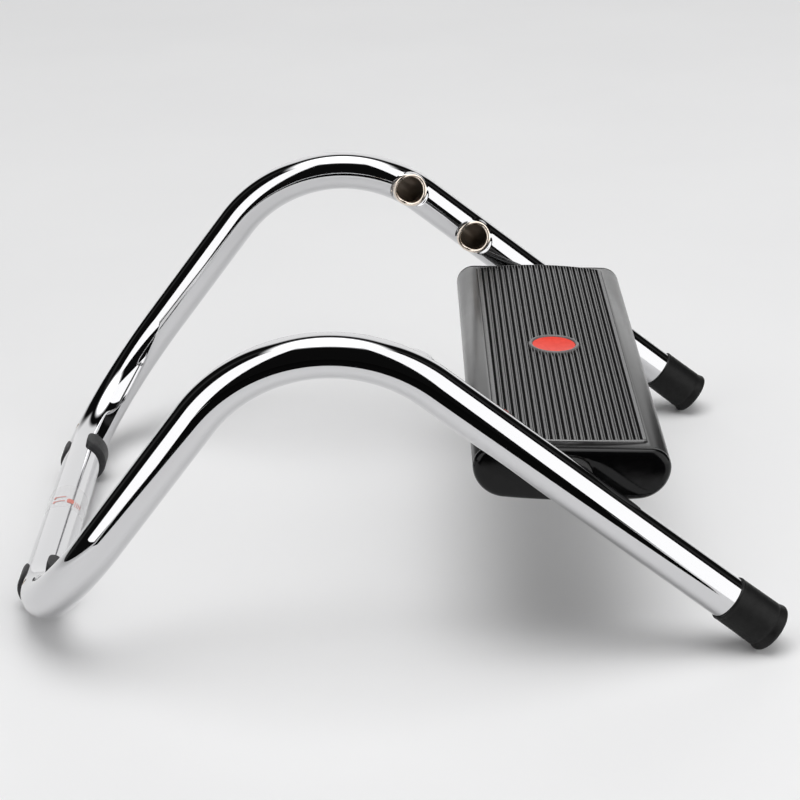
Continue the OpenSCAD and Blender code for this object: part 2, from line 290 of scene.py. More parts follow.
def new_material(name, colour, roughness, metallic=0.0, **sockets):
    """A Principled material. Sockets are named with underscores for spaces."""
    material = bpy.data.materials.new(name)
    material.use_nodes = True
    shader = material.node_tree.nodes["Principled BSDF"]
    shader.inputs["Base Color"].default_value = (*colour, 1)
    shader.inputs["Roughness"].default_value = roughness
    shader.inputs["Metallic"].default_value = metallic
    for key, value in sockets.items():
        shader.inputs[key.replace("_", " ")].default_value = value
    return material


def shader_of(material):
    return material.node_tree.nodes["Principled BSDF"]


def add_node(material, kind):
    return material.node_tree.nodes.new(kind)


def link(material, source, target):
    material.node_tree.links.new(source, target)


def noise(material, scale, detail=4.0, stretch=(1, 1, 1)):
    """Noise on the piece's own coordinates, in cells per metre."""
    coords = add_node(material, "ShaderNodeTexCoord")
    mapping = add_node(material, "ShaderNodeMapping")
    mapping.inputs["Scale"].default_value = stretch
    texture = add_node(material, "ShaderNodeTexNoise")
    texture.inputs["Scale"].default_value = scale
    texture.inputs["Detail"].default_value = detail
    link(material, coords.outputs["Object"], mapping.inputs["Vector"])
    link(material, mapping.outputs["Vector"], texture.inputs["Vector"])
    return texture.outputs["Fac"]


NOISE_LOW, NOISE_HIGH = 0.35, 0.65


def vary(material, value, socket, low, high, start=NOISE_LOW, end=NOISE_HIGH):
    """Maps a texture value to a range on one of the shader's sockets."""
    ranged = add_node(material, "ShaderNodeMapRange")
    ranged.inputs["From Min"].default_value = start
    ranged.inputs["From Max"].default_value = end
    ranged.inputs["To Min"].default_value = low
    ranged.inputs["To Max"].default_value = high
    link(material, value, ranged.inputs["Value"])
    link(material, ranged.outputs["Result"], shader_of(material).inputs[socket])


def tint(material, value, dark, light):
    """Colours the surface between two colours by a texture value."""
    ramp = add_node(material, "ShaderNodeValToRGB")
    ramp.color_ramp.elements[0].position = NOISE_LOW
    ramp.color_ramp.elements[1].position = NOISE_HIGH
    ramp.color_ramp.elements[0].color = (*dark, 1)
    ramp.color_ramp.elements[1].color = (*light, 1)
    link(material, value, ramp.inputs["Fac"])
    link(material, ramp.outputs["Color"], shader_of(material).inputs["Base Color"])


def relief(material, value, strength, depth_mm):
    """Bumps the surface by a texture value."""
    bump = add_node(material, "ShaderNodeBump")
    bump.inputs["Strength"].default_value = strength
    bump.inputs["Distance"].default_value = depth_mm * MM
    link(material, value, bump.inputs["Height"])
    link(material, bump.outputs["Normal"], shader_of(material).inputs["Normal"])


def surface(name, colour, roughness, metallic=0.0, tones=None, gloss=None, bumps=None, **sockets):
    """A material varied by noise. tones, gloss and bumps each begin with the settings of their noise."""
    material = new_material(name, colour, roughness, metallic, **sockets)
    if tones:
        tint(material, noise(material, *tones[0]), *tones[1:])
    if gloss:
        vary(material, noise(material, *gloss[0]), "Roughness", *gloss[1:])
    if bumps:
        relief(material, noise(material, *bumps[0]), *bumps[1:])
    return material


# ---------- materials ----------

def rubber(name, dark, light, roughness, specular=0.5):
    return surface(name, dark, roughness, tones=((300,), dark, light),
                   gloss=((800,), roughness - 0.06, roughness + 0.1), bumps=((4000, 3), 0.12, 0.03),
                   Specular_IOR_Level=specular)


def steel(name, colour, low, high, grain=(1, 1, 1)):
    """Turned or drawn steel. grain stretches its marks."""
    return surface(name, colour, low, 1.0, gloss=((700, 3, grain), low, high),
                   bumps=((1800, 2, grain), 0.1, 0.01))


CHROME = surface("chrome", (0.67, 0.67, 0.68), 0.03, 1.0, gloss=((45,), 0.015, 0.06),
                 bumps=((60, 2), 0.015, 0.02))
# The lip of a punched hole, where the plating is thin and warm
HOLE_EDGE = surface("hole_edge", (0.86, 0.76, 0.66), 0.12, 1.0, gloss=((500,), 0.08, 0.25))
# Unplated steel
TUBE_INSIDE = surface("tube_inside", (0.3, 0.25, 0.21), 0.4, 0.6, gloss=((300,), 0.32, 0.45),
                      tones=((90,), (0.24, 0.2, 0.16), (0.36, 0.3, 0.25)))
CAP_RUBBER = rubber("cap_rubber", (0.004, 0.004, 0.004), (0.007, 0.007, 0.007), 0.45, 0.2)
CLIP_RUBBER = rubber("clip_rubber", (0.022, 0.022, 0.023), (0.034, 0.034, 0.035), 0.55)
WASHER_RUBBER = rubber("washer_rubber", (0.02, 0.02, 0.02), (0.03, 0.03, 0.03), 0.6)
# The tread rubber made darker and duller for the groove floors: painted shade in the grooves
GROOVE_PAINTED_SHADE = rubber("groove_painted_shade", (0.004, 0.004, 0.004), (0.007, 0.007, 0.007), 0.7, 0.1)
FILM = surface("film", (0.95, 0.93, 0.93), 0.06, gloss=((200,), 0.04, 0.14), Alpha=0.07, IOR=1.45)
LABEL_INK = surface("label_ink", (0.85, 0.25, 0.2), 0.4,
                    tones=((1500,), (0.8, 0.2, 0.15), (0.88, 0.36, 0.3)), Alpha=0.6)
SHELL_PLASTIC = surface("shell_plastic", (0.012, 0.012, 0.012), 0.3, gloss=((60, 2), 0.29, 0.32),
                        bumps=((2500, 2), 0.05, 0.01), Specular_IOR_Level=0.9,
                        Coat_Weight=0.4, Coat_Roughness=0.25)
CAP_PLASTIC = surface("cap_plastic", (0.002, 0.002, 0.0022), 0.12, gloss=((150,), 0.08, 0.16),
                      bumps=((120, 2), 0.03, 0.03), Specular_IOR_Level=0.25)
TREAD_RUBBER = surface("tread_rubber", (0.014, 0.014, 0.014), 0.34, gloss=((500,), 0.3, 0.4),
                       tones=((120,), (0.012, 0.012, 0.012), (0.017, 0.0165, 0.017)),
                       bumps=((3500, 3), 0.1, 0.03), Specular_IOR_Level=1.0, IOR=1.9)
BEZEL_PLASTIC = surface("bezel_plastic", (0.14, 0.135, 0.135), 0.3, gloss=((600,), 0.26, 0.36),
                        bumps=((3000, 2), 0.06, 0.02))
BADGE_ENAMEL = surface("badge_enamel", (0.75, 0.03, 0.02), 0.4,
                       tones=((300,), (0.8, 0.04, 0.02), (0.86, 0.055, 0.03)), Specular_IOR_Level=0.2)
GUIDE_PLASTIC = surface("guide_plastic", (0.45, 0.45, 0.44), 0.5, bumps=((2500, 2), 0.15, 0.03),
                        tones=((200,), (0.4, 0.4, 0.39), (0.5, 0.5, 0.48)))
TAB_PLASTIC = surface("tab_plastic", (0.03, 0.03, 0.03), 0.5, gloss=((400,), 0.42, 0.58),
                      bumps=((3000, 2), 0.25, 0.05))
PIN_STEEL = steel("pin_steel", (0.62, 0.62, 0.64), 0.2, 0.34, (0.2, 1, 0.2))
SPRING_STEEL = steel("spring_steel", (0.5, 0.5, 0.52), 0.25, 0.4)
SCREW_STEEL = steel("screw_steel", (0.6, 0.6, 0.6), 0.22, 0.36)


# ---------- frame tube ----------

BAR_HALF = LEG_Y - CORNER_R
CORNER_LEN = CORNER_R * math.pi / 2
RISE_STRAIGHT = (APEX - BAR).length - CORNER_R - BEND_CUT
APEX_LEN = APEX_R * BEND
FALL_STRAIGHT = TUBE_END - BEND_CUT
FALL_START = BAR_HALF + CORNER_LEN + RISE_STRAIGHT + APEX_LEN
HALF_LEN = FALL_START + FALL_STRAIGHT
LEG_BASE = BAR + Vector((0, LEG_Y, 0))


def upright(tangent):
    """The direction across a leg in its own plane, on its upper side."""
    return Vector((-tangent.z, 0, tangent.x))


def far_station(s):
    """Centre, direction and upper side of the bar at distance s from the crossbar's middle."""
    lean = upright(RISE)
    if s <= BAR_HALF:
        return BAR + Y * s, Y, lean
    s -= BAR_HALF
    if s <= CORNER_LEN:
        a = s / CORNER_R
        centre = BAR + Y * BAR_HALF + RISE * CORNER_R
        point = centre - RISE * (CORNER_R * math.cos(a)) + Y * (CORNER_R * math.sin(a))
        return point, RISE * math.sin(a) + Y * math.cos(a), lean
    s -= CORNER_LEN
    if s <= RISE_STRAIGHT:
        return LEG_BASE + RISE * (CORNER_R + s), RISE, lean
    s -= RISE_STRAIGHT
    if s <= APEX_LEN:
        a = s / APEX_R
        centre = LEG_BASE + RISE * (CORNER_R + RISE_STRAIGHT) - lean * APEX_R
        point = centre + (lean * math.cos(a) + RISE * math.sin(a)) * APEX_R
        tangent = RISE * math.cos(a) - lean * math.sin(a)
        return point, tangent, upright(tangent)
    s -= APEX_LEN
    point = APEX + Vector((0, LEG_Y, 0)) + FALL * (BEND_CUT + s)
    return point, FALL, upright(FALL)


def station(s):
    """As far_station, but with negative distances on the near side."""
    point, tangent, up = far_station(abs(s))
    if s < 0:
        point = Vector((point.x, -point.y, point.z))
        tangent = Vector((-tangent.x, tangent.y, -tangent.z))
    return point, tangent, up


def tube_normal(s, arc):
    """The way out of the tube at distance s and arc length arc round it from the inner side."""
    _, tangent, up = station(s)
    a = arc / TUBE_R
    return tangent.cross(up) * math.cos(a) + up * math.sin(a)


def on_tube(s, arc, r):
    """The point that way out at radius r."""
    return station(s)[0] + tube_normal(s, arc) * r


TURNS = 96
ARC_STEP = 2 * math.pi * TUBE_R / TURNS
PLATED, LIP, INSIDE = 0, 1, 2


class Opening:
    """A hole in the tube: its place and the half sizes, in cells, of the patch round it."""

    def __init__(self, s, turn, half_s, cells_s, cells_arc):
        self.s = s
        self.side = 1 if s > 0 else -1
        self.down_leg = abs(s) - FALL_START + BEND_CUT
        self.turn = turn
        self.half_s = half_s
        self.cells_s = cells_s
        self.cells_arc = cells_arc
        self.arc = turn * ARC_STEP

    def stations(self):
        return spread(self.s - self.half_s, self.s + self.half_s, 2 * self.cells_s)

    def covers(self, s_middle, k):
        gap = (k - self.turn + TURNS // 2) % TURNS - TURNS // 2
        return abs(s_middle - self.s) < self.half_s and -self.cells_arc <= gap < self.cells_arc

    def border(self):
        """Grid steps round the patch, anticlockwise from its far corner, as (station, turn) offsets."""
        a, b = self.cells_s, self.cells_arc
        steps = [(a, k) for k in range(-b, b)]
        steps += [(j, b) for j in range(a, -a, -1)]
        steps += [(-a, k) for k in range(b, -b, -1)]
        steps += [(j, -b) for j in range(-a, a)]
        return steps


def hole_openings():
    """The three height holes of each leg, facing inwards."""
    spots = [FALL_START - BEND_CUT + FIRST_HOLE + HOLE_PITCH * i for i in range(3)]
    places = [side * s for side, _ in SIDES for s in spots]
    return [Opening(s, turn=0, half_s=17.0, cells_s=10, cells_arc=24) for s in places]


def vent_openings():
    """The vent in each floor corner, on the upper side."""
    s = BAR_HALF + CORNER_R * VENT_TURN
    top = TURNS // 4
    return [Opening(side * s, turn=top, half_s=4.5, cells_s=5, cells_arc=5) for side, _ in SIDES]


def bar_stations(openings):
    """Distances of the grid's rings: close together in the bends and at the holes."""
    bar_step, leg_step, bend_step = 8, 6, 2.2
    corner_end = BAR_HALF + CORNER_LEN
    apex_start = FALL_START - APEX_LEN
    marks = [
        (0, BAR_HALF, bar_step), (BAR_HALF, corner_end, bend_step), (corner_end, apex_start, leg_step),
        (apex_start, FALL_START, bend_step), (FALL_START, HALF_LEN, leg_step)
    ]
    places = set()
    for start, end, step in marks:
        count = max(1, round((end - start) / step))
        for s in spread(start, end, count):
            places.update((round(s, 4), round(-s, 4)))
    clear = [s for s in places if all(abs(s - o.s) > o.half_s + 0.5 for o in openings)]
    own = [round(s, 4) for o in openings for s in o.stations()]
    return sorted(set(clear) | set(own))


def hole_circle(opening, r, depth, angles):
    """A ring of points round a height hole's axis, at a depth below the tube's outermost line."""
    centre = APEX + FALL * opening.down_leg + Y * (opening.side * (LEG_FACE + depth))
    tangent = FALL * opening.side
    up = upright(FALL)
    return [centre + tangent * (r * math.cos(a)) + up * (r * math.sin(a)) for a in angles]


def hole_rings(opening, angles):
    """Rings from the tube's outside over the rounded lip and down the collar to the inside."""
    lip = []
    for turn in spread(-1, 1, 12):
        ring = []
        for a in angles:
            rise = math.asin((HOLE_R + LIP_R) * abs(math.sin(a)) / TUBE_R)
            slope = max(LIP_SLOPE, rise)
            rim = RIM_DEPTH + RIM_FOLLOW * TUBE_R * (1 - math.cos(rise))
            tilt = -turn * (slope if turn < 0 else math.pi / 2)
            r = HOLE_R + LIP_R + LIP_R * math.sin(tilt)
            depth = rim + LIP_R - LIP_R * math.cos(tilt)
            ring.append(hole_circle(opening, r, depth, [a])[0])
        lip.append(ring)
    bore = [
        hole_circle(opening, r, depth, angles)
        for r, depth in (
            (HOLE_R, COLLAR_DEPTH - 0.3), (HOLE_R + 0.3, COLLAR_DEPTH),
            (COLLAR_R, COLLAR_DEPTH), (COLLAR_R, COLLAR_DEPTH - 0.8), (COLLAR_R, COLLAR_DEPTH - 1.8)
        )
    ]
    return lip, bore


def tube_offsets(opening, ring, r):
    """Where a ring's points lie on the tube, as offsets along the bar and round it."""
    found = []
    for p in ring:
        along = (p - APEX).dot(FALL) - opening.down_leg
        height = (p - APEX).dot(upright(FALL))
        found.append((along * opening.side, TUBE_R * math.asin(max(-1, min(1, height / r)))))
    return found


def patch(maker, opening, border, start, inner_ring, r, *, fade, rings, slot):
    """Skins the tube between a hole's ring and the patch's border, fading the ring's offset out."""
    bases = [on_tube(opening.s + ds, opening.arc + arc, r) for ds, arc in start]
    lifts = [p - base for p, base in zip(inner_ring, bases)]
    edge = [(ds * opening.half_s / opening.cells_s, k * ARC_STEP) for ds, k in opening.border()]
    previous = maker.ring(inner_ring)
    first = previous
    for i in range(1, rings):
        w = (i / rings) ** 1.5
        points = []
        for (s0, a0), (s1, a1), lift in zip(start, edge, lifts):
            ds = s0 + (s1 - s0) * w
            arc = a0 + (a1 - a0) * w
            gone = math.hypot(ds - s0, arc - a0)
            place = (opening.s + ds, opening.arc + arc)
            point = on_tube(*place, r) + lift * (1 - ease(gone / fade))
            if r == TUBE_R and gone > fade:
                maker.aim(point, tube_normal(*place))
            points.append(point)
        ring = maker.ring(points)
        maker.strip(previous, ring, slot)
        previous = ring
    maker.strip(previous, border, slot)
    return first


def patch_angles(opening):
    """An angle round the hole for each point of the patch's border."""
    reach = opening.cells_arc * ARC_STEP
    return [math.atan2(k * ARC_STEP / reach, ds / opening.cells_s) for ds, k in opening.border()]


def tube_skin(maker, openings, places, r, slot):
    """The grid of one wall of the tube. Returns its rings and each opening's border."""
    rings = [maker.ring([on_tube(s, k * ARC_STEP, r) for k in range(TURNS)]) for s in places]
    if r == TUBE_R:
        for s, ring in zip(places, rings):
            for k, i in enumerate(ring):
                maker.aim(maker.points[i], tube_normal(s, k * ARC_STEP))
    for j in range(len(places) - 1):
        middle = (places[j] + places[j + 1]) / 2
        for k in range(TURNS):
            if any(o.covers(middle, k) for o in openings):
                continue
            m = (k + 1) % TURNS
            maker.face([rings[j][k], rings[j][m], rings[j + 1][m], rings[j + 1][k]], slot)
    borders = []
    for o in openings:
        j0 = places.index(round(o.s, 4))
        borders.append([rings[j0 + ds][(o.turn + k) % TURNS] for ds, k in o.border()])
    return rings, borders


def cut_height_hole(maker, hole, out_border, in_border):
    """A punched hole, from the outer skin over its lip and collar to the inner skin."""
    angles = patch_angles(hole)
    lip, bore = hole_rings(hole, angles)
    start = tube_offsets(hole, lip[0], TUBE_R)
    rim = patch(maker, hole, out_border, start, lip[0], TUBE_R, fade=2.0, rings=20, slot=PLATED)
    start = tube_offsets(hole, bore[-1], BORE_R)
    back = patch(maker, hole, in_border, start, bore[-1], BORE_R, fade=3.0, rings=8, slot=INSIDE)
    rings = [rim] + [maker.ring(p) for p in lip[1:] + bore[:-1]] + [back]
    maker.skin(rings[:len(lip) + 1], LIP)
    maker.skin(rings[len(lip):], INSIDE)


def cut_vent(maker, vent, out_border, in_border):
    """A drilled hole with a broken edge, straight through the wall."""
    angles = patch_angles(vent)
    edge = 0.25
    rims = []
    for r, gap in ((TUBE_R, edge), (TUBE_R - edge, 0), (BORE_R, 0)):
        start = [((VENT_R + gap) * math.cos(a), (VENT_R + gap) * math.sin(a)) for a in angles]
        rims.append((start, [on_tube(vent.s + ds, vent.arc + arc, r) for ds, arc in start]))
    outside, middle, inside = rims
    rim = patch(maker, vent, out_border, *outside, TUBE_R, fade=1.0, rings=4, slot=PLATED)
    back = patch(maker, vent, in_border, *inside, BORE_R, fade=1.0, rings=4, slot=INSIDE)
    ring = maker.ring(middle[1])
    maker.strip(rim, ring, LIP)
    maker.strip(ring, back, INSIDE)


def frame_tube():
    holes, vents = hole_openings(), vent_openings()
    openings = holes + vents
    places = bar_stations(openings)
    maker = Maker()
    outer, out_borders = tube_skin(maker, openings, places, TUBE_R, PLATED)
    inner, in_borders = tube_skin(maker, openings, places, BORE_R, INSIDE)
    for opening, out_border, in_border in zip(openings, out_borders, in_borders):
        cut = cut_height_hole if opening in holes else cut_vent
        cut(maker, opening, out_border, in_border)
    for end in (0, -1):
        maker.strip(outer[end], inner[end], PLATED)
    piece = maker.piece("bent_tube", [CHROME, HOLE_EDGE, TUBE_INSIDE], sharp=60)
    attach(piece, "frame")
    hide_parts("frame_tube")


# ---------- rubber feet and label ----------

def leg_caps():
    """Ferrules with a thin mouth, a bead above the flared rim and a ribbed base."""
    mouth = TUBE_R + CAP_WALL
    wide = mouth + 0.3
    rim_h = CAP_LEN - CAP_RIM_R
    ring_r = CAP_FLANGE_R - CAP_RIM_R
    inside = [(0, CAP_LEN - CAP_BASE), (TUBE_R, CAP_LEN - CAP_BASE)]
    outside = [(TUBE_R, 0.3), (TUBE_R + 0.25, 0), (mouth - 0.2, 0), (mouth, 0.25), (mouth - 0.05, 1.6)]
    outside += [(mouth - 0.18, 2.0), (mouth - 0.1, 3.0), (wide - 0.15, CAP_LEN - 8.5)]
    outside += [(wide - 0.1, CAP_LEN - 6.6), (wide - 0.35, CAP_LEN - 6.2), (wide - 0.25, CAP_LEN - 5.6)]
    outside += [(wide + 0.15, CAP_LEN - 4.2), (CAP_FLANGE_R - 0.05, rim_h - 0.6)]
    rim = arc_points(ring_r, rim_h, CAP_RIM_R, arc_angles(90, 9))
    base = []
    groove = CAP_LEN - 0.6
    for r in (11, 8, 5):
        base += [(r, CAP_LEN), (r - 0.4, groove), (r - 1.1, groove), (r - 1.5, CAP_LEN)]
    base.append((0, CAP_LEN))
    profile = inside + outside + rim + base
    start = TUBE_END + CAP_BASE - CAP_LEN
    for side, name in SIDES:
        origin = APEX + FALL * start + Y * (side * LEG_Y)
        piece = lathe(f"ferrule_{name}", profile, origin, FALL, [CAP_RUBBER], sharp=50)
        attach(piece, "frame")
        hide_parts(f"leg_cap_{name}")


def clip_section(half, height, corner):
    """Half-round-cornered outline of a clip's band, as (offset along the bar, height above the tube)."""
    corner = min(corner, height * 0.9, half * 0.9)
    right = arc_points(half - corner, height - corner, corner, arc_angles(90, 15))
    left = [(-x, z) for x, z in reversed(right)]
    return [(half, 0), (half, (height - corner) / 2)] + right + [(0, height)] + left + [
        (-half, (height - corner) / 2), (-half, 0), (0, 0)
    ]


def crossbar_clips():
    """C-shaped bands whose two arms end in round tongues."""
    tongue, lip, thin, thin_run = 5.0, 1.2, 0.45, 22
    mid_r = TUBE_R + CLIP_WALL / 2
    for _, name in SIDES:
        low, high = (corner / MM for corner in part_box(f"crossbar_foot_{name}"))
        middle = (low.y + high.y) / 2
        maker = Maker()
        rings = []
        span = CLIP_END - CLIP_START
        near_end = [e / mid_r for e in (0, 0.1, 0.3, 0.6, 1.0, 1.5, 2.1, 2.8, 3.6, 4.4, 5.2)]
        turns = near_end + spread(0.45, span - 0.45, 70) + [span - e for e in reversed(near_end)]
        for a in turns:
            e = min(a, span - a) * mid_r
            half = CLIP_LEN / 2 - tongue + math.sqrt(tongue ** 2 - max(tongue - e, 0) ** 2)
            wall = CLIP_WALL * (thin + (1 - thin) * ease((span - a) * mid_r / thin_run))
            height = wall - lip + math.sqrt(lip ** 2 - max(lip - e, 0) ** 2)
            out = Vector((math.sin(CLIP_START + a), 0, math.cos(CLIP_START + a)))
            rings.append(maker.ring([
                BAR + Y * (middle + along) + out * (TUBE_R + z)
                for along, z in clip_section(half, height, 0.9)
            ]))
        maker.solid(rings)
        piece = maker.piece(f"clip_{name}", [CLIP_RUBBER], sharp=50)
        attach(piece, "frame")
        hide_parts(f"crossbar_foot_{name}")


def ink_patch(maker, y0, y1, a0, a1, corner=0.0):
    """A thin printed block on the crossbar, from y0 to y1 and between two angles from straight up."""
    base_r, thick = TUBE_R + 0.16, 0.03
    cell_deg = 3
    cells = max(2, round(abs(a1 - a0) / cell_deg))
    rings = []
    for a in spread(a0, a1, cells):
        edge = math.radians(min(abs(a - a0), abs(a1 - a))) * TUBE_R
        inset = corner - math.sqrt(corner ** 2 - max(corner - edge, 0) ** 2)
        out = Vector((math.sin(math.radians(a)), 0, math.cos(math.radians(a))))
        low, high = y0 + inset, y1 - inset
        rings.append(maker.ring([
            BAR + Y * y + out * r for y, r in (
                (low, base_r), (high, base_r), (high, base_r + thick), (low, base_r + thick)
            )
        ]))
    maker.solid(rings)


def label_marks():
    """Plain arrows, a block and short lines in red, printed on the film."""
    middle = sum(corner.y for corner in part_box("crossbar_label")) / 2 / MM
    maker = Maker()
    stem, line, rows = 0.4, 1.8, 4
    for offset in (1.4, 7.6):
        centre = middle - offset
        ink_patch(maker, centre - stem, centre + stem, -24, 8)
        for i in range(rows):
            half = 0.5 + 0.5 * i
            start = -29 + i * line
            ink_patch(maker, centre - half, centre + half, start, start + 1.6)
    ink_patch(maker, middle - 9.4, middle - 3.6, 13, 34, corner=1.2)
    for i in range(rows):
        start = 38 + i * 6
        ink_patch(maker, middle - 11.5 + i * 0.4, middle - 4.5, start, start + line)
    piece = maker.piece("label_marks", [LABEL_INK])
    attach(piece, "frame")


# ---------- platform ----------

TOP_X = SHELL_W / 2 - TOP_EDGE_R
LOW_X = SHELL_W / 2 - LOW_EDGE_R
BELLY = SHELL_BOTTOM + SIDE_Z
BELLY_R = (LOW_X ** 2 + BELLY ** 2 - LOW_EDGE_R ** 2) / (2 * (BELLY - LOW_EDGE_R))
BELLY_Z = BELLY_R - SHELL_BOTTOM
LEAN = math.atan2(LOW_X, BELLY_Z - SIDE_Z)


def outline(inset):
    """Section of the platform in X and Z, anticlockwise from its right side, drawn in by inset."""
    quarter = math.pi / 2
    right = arc_points(TOP_X, SIDE_Z, TOP_EDGE_R - inset, spread(0, quarter, 18))
    top = [(x, SHELL_TOP - inset) for x in spread(TOP_X, -TOP_X, 12)[1:-1]]
    left = [(-x, z) for x, z in reversed(right)]
    turns = spread(math.pi, 2 * math.pi - quarter - LEAN, 18)
    low_left = arc_points(-LOW_X, SIDE_Z, LOW_EDGE_R - inset, turns)[1:]
    belly = arc_points(0, BELLY_Z, BELLY_R - inset, spread(-quarter - LEAN, -quarter + LEAN, 60))[1:]
    low_right = [(-x, z) for x, z in reversed(low_left)][1:]
    return right + top + left + low_left + belly + low_right


def platform_ring(maker, inset, y):
    return maker.ring([on_platform(x, y, z) for x, z in outline(inset)])


def box_cutter(name, low, high):
    """A block in the platform's frame, from one corner to the other."""
    maker = Maker()
    rings = []
    for z in (low[2], high[2]):
        corners = ((low[0], low[1]), (high[0], low[1]), (high[0], high[1]), (low[0], high[1]))
        rings.append(maker.ring([on_platform(x, y, z) for x, y in corners]))
    maker.solid(rings)
    return maker.piece(name, [])


def mat_half_length(x):
    return MAT_LEN / 2 - MAT_BOW_R + math.sqrt(MAT_BOW_R ** 2 - x ** 2)


def recess_cutter():
    """The mat's outline with a little room round it."""
    room = 0.4
    xs = spread(-MAT_W / 2 - room, MAT_W / 2 + room, 24)
    edge = [(x, mat_half_length(x) + room) for x in xs]
    edge += [(x, -y) for x, y in reversed(edge)]
    maker = Maker()
    rings = [
        maker.ring([on_platform(x, y, z) for x, y in edge])
        for z in (MAT_BASE, SHELL_TOP + 3)
    ]
    maker.solid(rings)
    return maker.piece("recess_cutter", [])


def subtract(piece, tools):
    """Cuts the tools out of the piece and removes them."""
    for tool in tools:
        cut = piece.modifiers.new(tool.name, "BOOLEAN")
        cut.object = tool
        cut.operation = "DIFFERENCE"
        cut.solver = "EXACT"
    depsgraph = bpy.context.evaluated_depsgraph_get()
    mesh = bpy.data.meshes.new_from_object(piece.evaluated_get(depsgraph))
    piece.modifiers.clear()
    piece.data = mesh
    for tool in tools:
        bpy.data.objects.remove(tool)


def underside_cutters(side, name):
    """The tab's slot and the screw holes, each with a sunk seat, at one end."""
    slot_half, slot_ends = 5.4, (89.3, 107.1)
    screw_x, screw_back = 15, 2.5
    hole, seat = (1.8, 6.0), (3.8, 1.4)
    below = -SHELL_BOTTOM - 1
    y0, y1 = sorted(side * y for y in slot_ends)
    tools = [box_cutter(f"slot_{name}", (-slot_half, y0, below), (slot_half, y1, below + 5))]
    for x in (-screw_x, screw_x):
        origin = on_platform(x, side * (GUIDE_OUT - screw_back), below)
        for r, h in (hole, seat):
            profile = [(0, 0), (r, 0), (r, h), (0, h)]
            tools.append(lathe(f"screw_cutter_{name}_{x}_{r}", profile, origin, PLATFORM_UP, [], 48))
    return tools


def platform_shell():
    """The hollow body: mat recess on top, tab slots and screw holes underneath."""
    maker = Maker()
    marks = [(0.45, 0), (0.15, 0.12), (0, 0.45)]
    ends = [(i, -SHELL_END + y) for i, y in marks] + [(i, SHELL_END - y) for i, y in reversed(marks)]
    maker.solid([platform_ring(maker, i, y) for i, y in ends])
    piece = maker.piece("body_shell", [SHELL_PLASTIC])
    hollow = Maker()
    hollow.solid([platform_ring(hollow, SHELL_WALL, side * (SHELL_END + 1)) for side, _ in SIDES])
    tools = [hollow.piece("hollow_cutter", []), recess_cutter()]
    for side, name in SIDES:
        tools += underside_cutters(side, name)
    subtract(piece, tools)
    smooth(piece.data, 30)
    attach(piece, "platform")
    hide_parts("platform_shell")


def crowned_face(maker, side, angles, edge_r, crown):
    """Rings from a cap's rounded edge in to its boss, over a slightly raised face."""
    rings = []
    rim = [Vector((x, z)) for x, z in outline(edge_r)]
    for t in (0.2, 0.45, 0.7, 0.9):
        y = side * (CAP_FACE - crown + crown * math.sin(t * math.pi / 2))
        ring = []
        for p, a in zip(rim, angles):
            q = p.lerp(Vector((BOSS_R * math.cos(a), BOSS_R * math.sin(a))), t)
            ring.append(on_platform(q.x, y, q.y))
        rings.append(maker.ring(ring))
    return rings


def end_caps():
    """Gloss caps with a rounded edge, a bore for the pin and a boss behind it."""
    angles = [math.atan2(z, x) for x, z in outline(0)]
    edge_r, crown, lip = 4.4, 0.35, 0.9
    spigot = SHELL_END - 7
    for side, name in SIDES:
        maker = Maker()
        face_y = CAP_FACE - crown

        def flat(inset, y):
            return platform_ring(maker, inset, side * y)

        def circle(r, y):
            return maker.ring([on_platform(r * math.cos(a), side * y, r * math.sin(a)) for a in angles])

        rings = [flat(0.5, SHELL_END), flat(0.12, SHELL_END + 0.15), flat(0, SHELL_END + 0.5)]
        rings += [
            flat(edge_r * (1 - math.cos(a)), SHELL_END + lip + (face_y - SHELL_END - lip) * math.sin(a))
            for a in arc_angles(90, 10)[1:]
        ]
        rings += crowned_face(maker, side, angles, edge_r, crown)
        rings += [circle(BOSS_R, CAP_FACE), circle(HOLE_R, CAP_FACE), circle(HOLE_R, BOSS_END)]
        rings += [circle(BOSS_R, BOSS_END), circle(BOSS_R, SHELL_END - 0.4), flat(3.5, SHELL_END - 0.4)]
        rings += [flat(3.4, spigot), flat(SHELL_WALL + 0.1, spigot), flat(SHELL_WALL + 0.1, SHELL_END)]
        maker.skin(rings + [rings[0]])
        piece = maker.piece(f"end_cap_{name}", [CAP_PLASTIC], sharp=45)
        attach(piece, "platform")
        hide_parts(f"platform_cap_{name}")


def mat_columns():
    """Places across the mat, as (x, depth) pairs of the grooved top, from one side to the other."""
    half = [
        (0, 2.5), (0.54, 2.5), (0.7, 2.38), (0.74, 2.1), (0.76, 0.28), (0.82, 0.12), (0.92, 0.02),
        (1.08, 0), (1.24, 0.03), (1.34, 0.12), (1.4, 0.35), (1.46, 1.2), (1.6, 1.4), (1.94, 1.4)
    ]
    pitch = [(-x, d) for x, d in reversed(half[1:])] + half
    reach = (GROOVE_COUNT - 1) / 2
    columns = []
    for i in range(GROOVE_COUNT):
        centre = (i - reach) * GROOVE_PITCH
        for x, d in pitch:
            last = abs(centre + x) > RIB_EDGE - 0.3
            columns.append((centre + x, 0 if last else d))
    inside = [(x, d) for x, d in columns if abs(x) < RIB_EDGE]
    margin = [(MAT_W / 2 - e, d) for e, d in ((1.1, 0), (0.6, 0.1), (0.25, 0.3), (0.06, 0.6), (0, 0.9))]
    columns = [(-x, d) for x, d in reversed(margin)] + inside + margin
    clean = [columns[0]]
    for x, d in columns[1:]:
        if x - clean[-1][0] > 1e-3:
            clean.append((x, d))
    return clean


